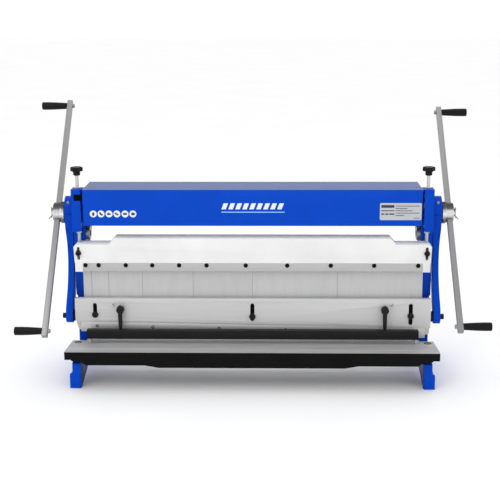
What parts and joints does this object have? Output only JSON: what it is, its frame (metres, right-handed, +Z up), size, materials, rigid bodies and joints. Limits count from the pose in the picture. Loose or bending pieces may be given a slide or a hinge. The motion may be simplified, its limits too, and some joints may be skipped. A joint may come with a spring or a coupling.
{
  "type": "sheet metal brake",
  "caption": "Hand-cranked sheet metal brake with a shear and slip rolls on one cast frame: a crank-driven ram bends on fingers above and cuts at the table below.",
  "frame": {"origin": "on the bench plane, straight below the crank shaft axis and half way between the side frames", "axes": "+X to the right along the crank shaft and the working width, +Y to the back, away from the operator, +Z up"},
  "size_m": [1.352, 0.6102, 0.8017],
  "materials": {
    "blue_enamel": "glossy blue enamel on cast iron and folded steel",
    "white_enamel": "satin white enamel on a casting",
    "cream_enamel": "satin cream enamel on a casting",
    "black_enamel": "satin black enamel, ground bright on the working top",
    "black_plastic": "moulded black plastic",
    "ground_steel": "ground along the length",
    "turned_steel": "turned or drawn bar",
    "bright_steel": "bright turned steel",
    "black_oxide": "black oxide"
  },
  "bodies": {
    "frame": {"left_side_frame": "blue_enamel", "right_side_frame": "blue_enamel", "left_screw_block": "blue_enamel", "right_screw_block": "blue_enamel", "left_beam_bolt": "black_oxide", "right_beam_bolt": "black_oxide", "table": "black_enamel", "bed_blade": "ground_steel", "rear_tie_bar": "blue_enamel", "rear_table_rail": "ground_steel", "left_gauge_rod": "turned_steel", "right_gauge_rod": "turned_steel"},
    "upper_beam": {"upper_beam": "white_enamel", "clamp_bar": "ground_steel", "finger_1": "ground_steel", "finger_2": "ground_steel", "finger_3": "ground_steel", "finger_4": "ground_steel", "finger_5": "ground_steel", "finger_6": "ground_steel", "finger_7": "ground_steel"},
    "left_screw": {"left_star_knob": "black_plastic", "left_height_screw": "turned_steel"},
    "right_screw": {"right_star_knob": "black_plastic", "right_height_screw": "turned_steel"},
    "ram": {"ram": "cream_enamel", "ram_plate": "ground_steel", "upper_blade": "ground_steel", "vee_die": "ground_steel", "left_plate_bolt": "black_oxide", "centre_plate_bolt": "black_oxide", "right_plate_bolt": "black_oxide", "left_clamp_boss": "black_oxide", "right_clamp_boss": "black_oxide"},
    "left_lever": {"left_clamp_lever": "black_oxide"},
    "right_lever": {"right_clamp_lever": "black_oxide"},
    "hold_down": {"hold_down_bar": "black_enamel"},
    "crank": {"roll_shaft": "turned_steel", "shaft_gear": "turned_steel", "left_eccentric": "turned_steel", "left_crank_hub": "bright_steel", "left_crank_arm": "turned_steel", "right_eccentric": "turned_steel", "right_crank_hub": "bright_steel", "right_crank_arm": "turned_steel"},
    "links": {"left_link": "blue_enamel", "left_link_pin": "black_oxide", "right_link": "blue_enamel", "right_link_pin": "black_oxide"},
    "upper_roll": {"upper_roll": "turned_steel", "upper_gear": "turned_steel"},
    "rear_roll": {"rear_roll": "turned_steel"},
    "swing_arms": {"left_swing_arm": "turned_steel", "right_swing_arm": "turned_steel"},
    "roll_cover": {"roll_cover": "blue_enamel"},
    "back_gauge": {"back_gauge_bar": "turned_steel"},
    "left_rear_grip": {"left_rear_grip": "black_plastic"},
    "left_front_grip": {"left_front_grip": "black_plastic"},
    "right_rear_grip": {"right_rear_grip": "black_plastic"},
    "right_front_grip": {"right_front_grip": "black_plastic"}
  },
  "joints": [
    {"name": "crank_turn", "type": "hinge", "parent": "frame", "child": "crank", "pos_m": [0, 0, 0.491], "axis": [1, 0, 0], "range_deg": [0, 180]},
    {"name": "link_swing", "type": "hinge", "parent": "crank", "child": "links", "pos_m": [0, 0, 0.505], "axis": [1, 0, 0], "range_deg": [-180, 0]},
    {"name": "ram_slide", "type": "slide", "parent": "frame", "child": "ram", "axis": [0, 0, -1], "range_m": [0, 0.0281]},
    {"name": "hold_down_slide", "type": "slide", "parent": "frame", "child": "hold_down", "axis": [0, 0, -1], "range_m": [0, 0.0111]},
    {"name": "left_lever_turn", "type": "hinge", "parent": "ram", "child": "left_lever", "pos_m": [-0.395, -0.0995, 0.214], "axis": [0, 1, 0], "range_deg": [-60, 60]},
    {"name": "right_lever_turn", "type": "hinge", "parent": "ram", "child": "right_lever", "pos_m": [0.395, -0.0995, 0.214], "axis": [0, 1, 0], "range_deg": [-60, 60]},
    {"name": "left_screw_turn", "type": "hinge", "parent": "frame", "child": "left_screw", "pos_m": [-0.518, -0.047, 0.5], "axis": [0, 0, 1], "range_deg": [0, 1801]},
    {"name": "right_screw_turn", "type": "hinge", "parent": "frame", "child": "right_screw", "pos_m": [0.518, -0.047, 0.5], "axis": [0, 0, 1], "range_deg": [0, 1801]},
    {"name": "upper_beam_slide", "type": "slide", "parent": "frame", "child": "upper_beam", "axis": [0, 0, 1], "range_m": [0, 0.01]},
    {"name": "upper_roll_turn", "type": "hinge", "parent": "frame", "child": "upper_roll", "pos_m": [0, 0, 0.53], "axis": [1, 0, 0], "range_deg": [-180, 0]},
    {"name": "rear_roll_tilt", "type": "hinge", "parent": "frame", "child": "swing_arms", "pos_m": [0, -0.004, 0.428], "axis": [1, 0, 0], "range_deg": [-12, 1.5]},
    {"name": "rear_roll_turn", "type": "hinge", "parent": "swing_arms", "child": "rear_roll", "pos_m": [0, 0.034, 0.469], "axis": [1, 0, 0], "continuous": true},
    {"name": "cover_hinge", "type": "hinge", "parent": "frame", "child": "roll_cover", "pos_m": [0, 0.05, 0.547], "axis": [1, 0, 0], "range_deg": [-100, 0]},
    {"name": "back_gauge_slide", "type": "slide", "parent": "frame", "child": "back_gauge", "axis": [0, 1, 0], "range_m": [-0.09, 0.08]},
    {"name": "left_rear_grip_spin", "type": "hinge", "parent": "crank", "child": "left_rear_grip", "pos_m": [-0.636, 0.26011, 0.78294], "axis": [1, 0, 0], "continuous": true},
    {"name": "left_front_grip_spin", "type": "hinge", "parent": "crank", "child": "left_front_grip", "pos_m": [-0.636, -0.26011, 0.19906], "axis": [1, 0, 0], "continuous": true},
    {"name": "right_rear_grip_spin", "type": "hinge", "parent": "crank", "child": "right_rear_grip", "pos_m": [0.636, 0.28642, 0.75716], "axis": [1, 0, 0], "continuous": true},
    {"name": "right_front_grip_spin", "type": "hinge", "parent": "crank", "child": "right_front_grip", "pos_m": [0.636, -0.28642, 0.22484], "axis": [1, 0, 0], "continuous": true}
  ],
  "couplings": [
    {"joint": "link_swing", "follows": "crank_turn", "ratio": -1},
    {"joint": "ram_slide", "follows": "crank_turn", "m_per_rad": 0.0089127},
    {"joint": "hold_down_slide", "follows": "crank_turn", "m_per_rad": 0.0035014},
    {"joint": "upper_roll_turn", "follows": "crank_turn", "ratio": -1},
    {"joint": "left_screw_turn", "follows": "upper_beam_slide", "rad_per_m": 3141.6},
    {"joint": "right_screw_turn", "follows": "upper_beam_slide", "rad_per_m": 3141.6}
  ]
}
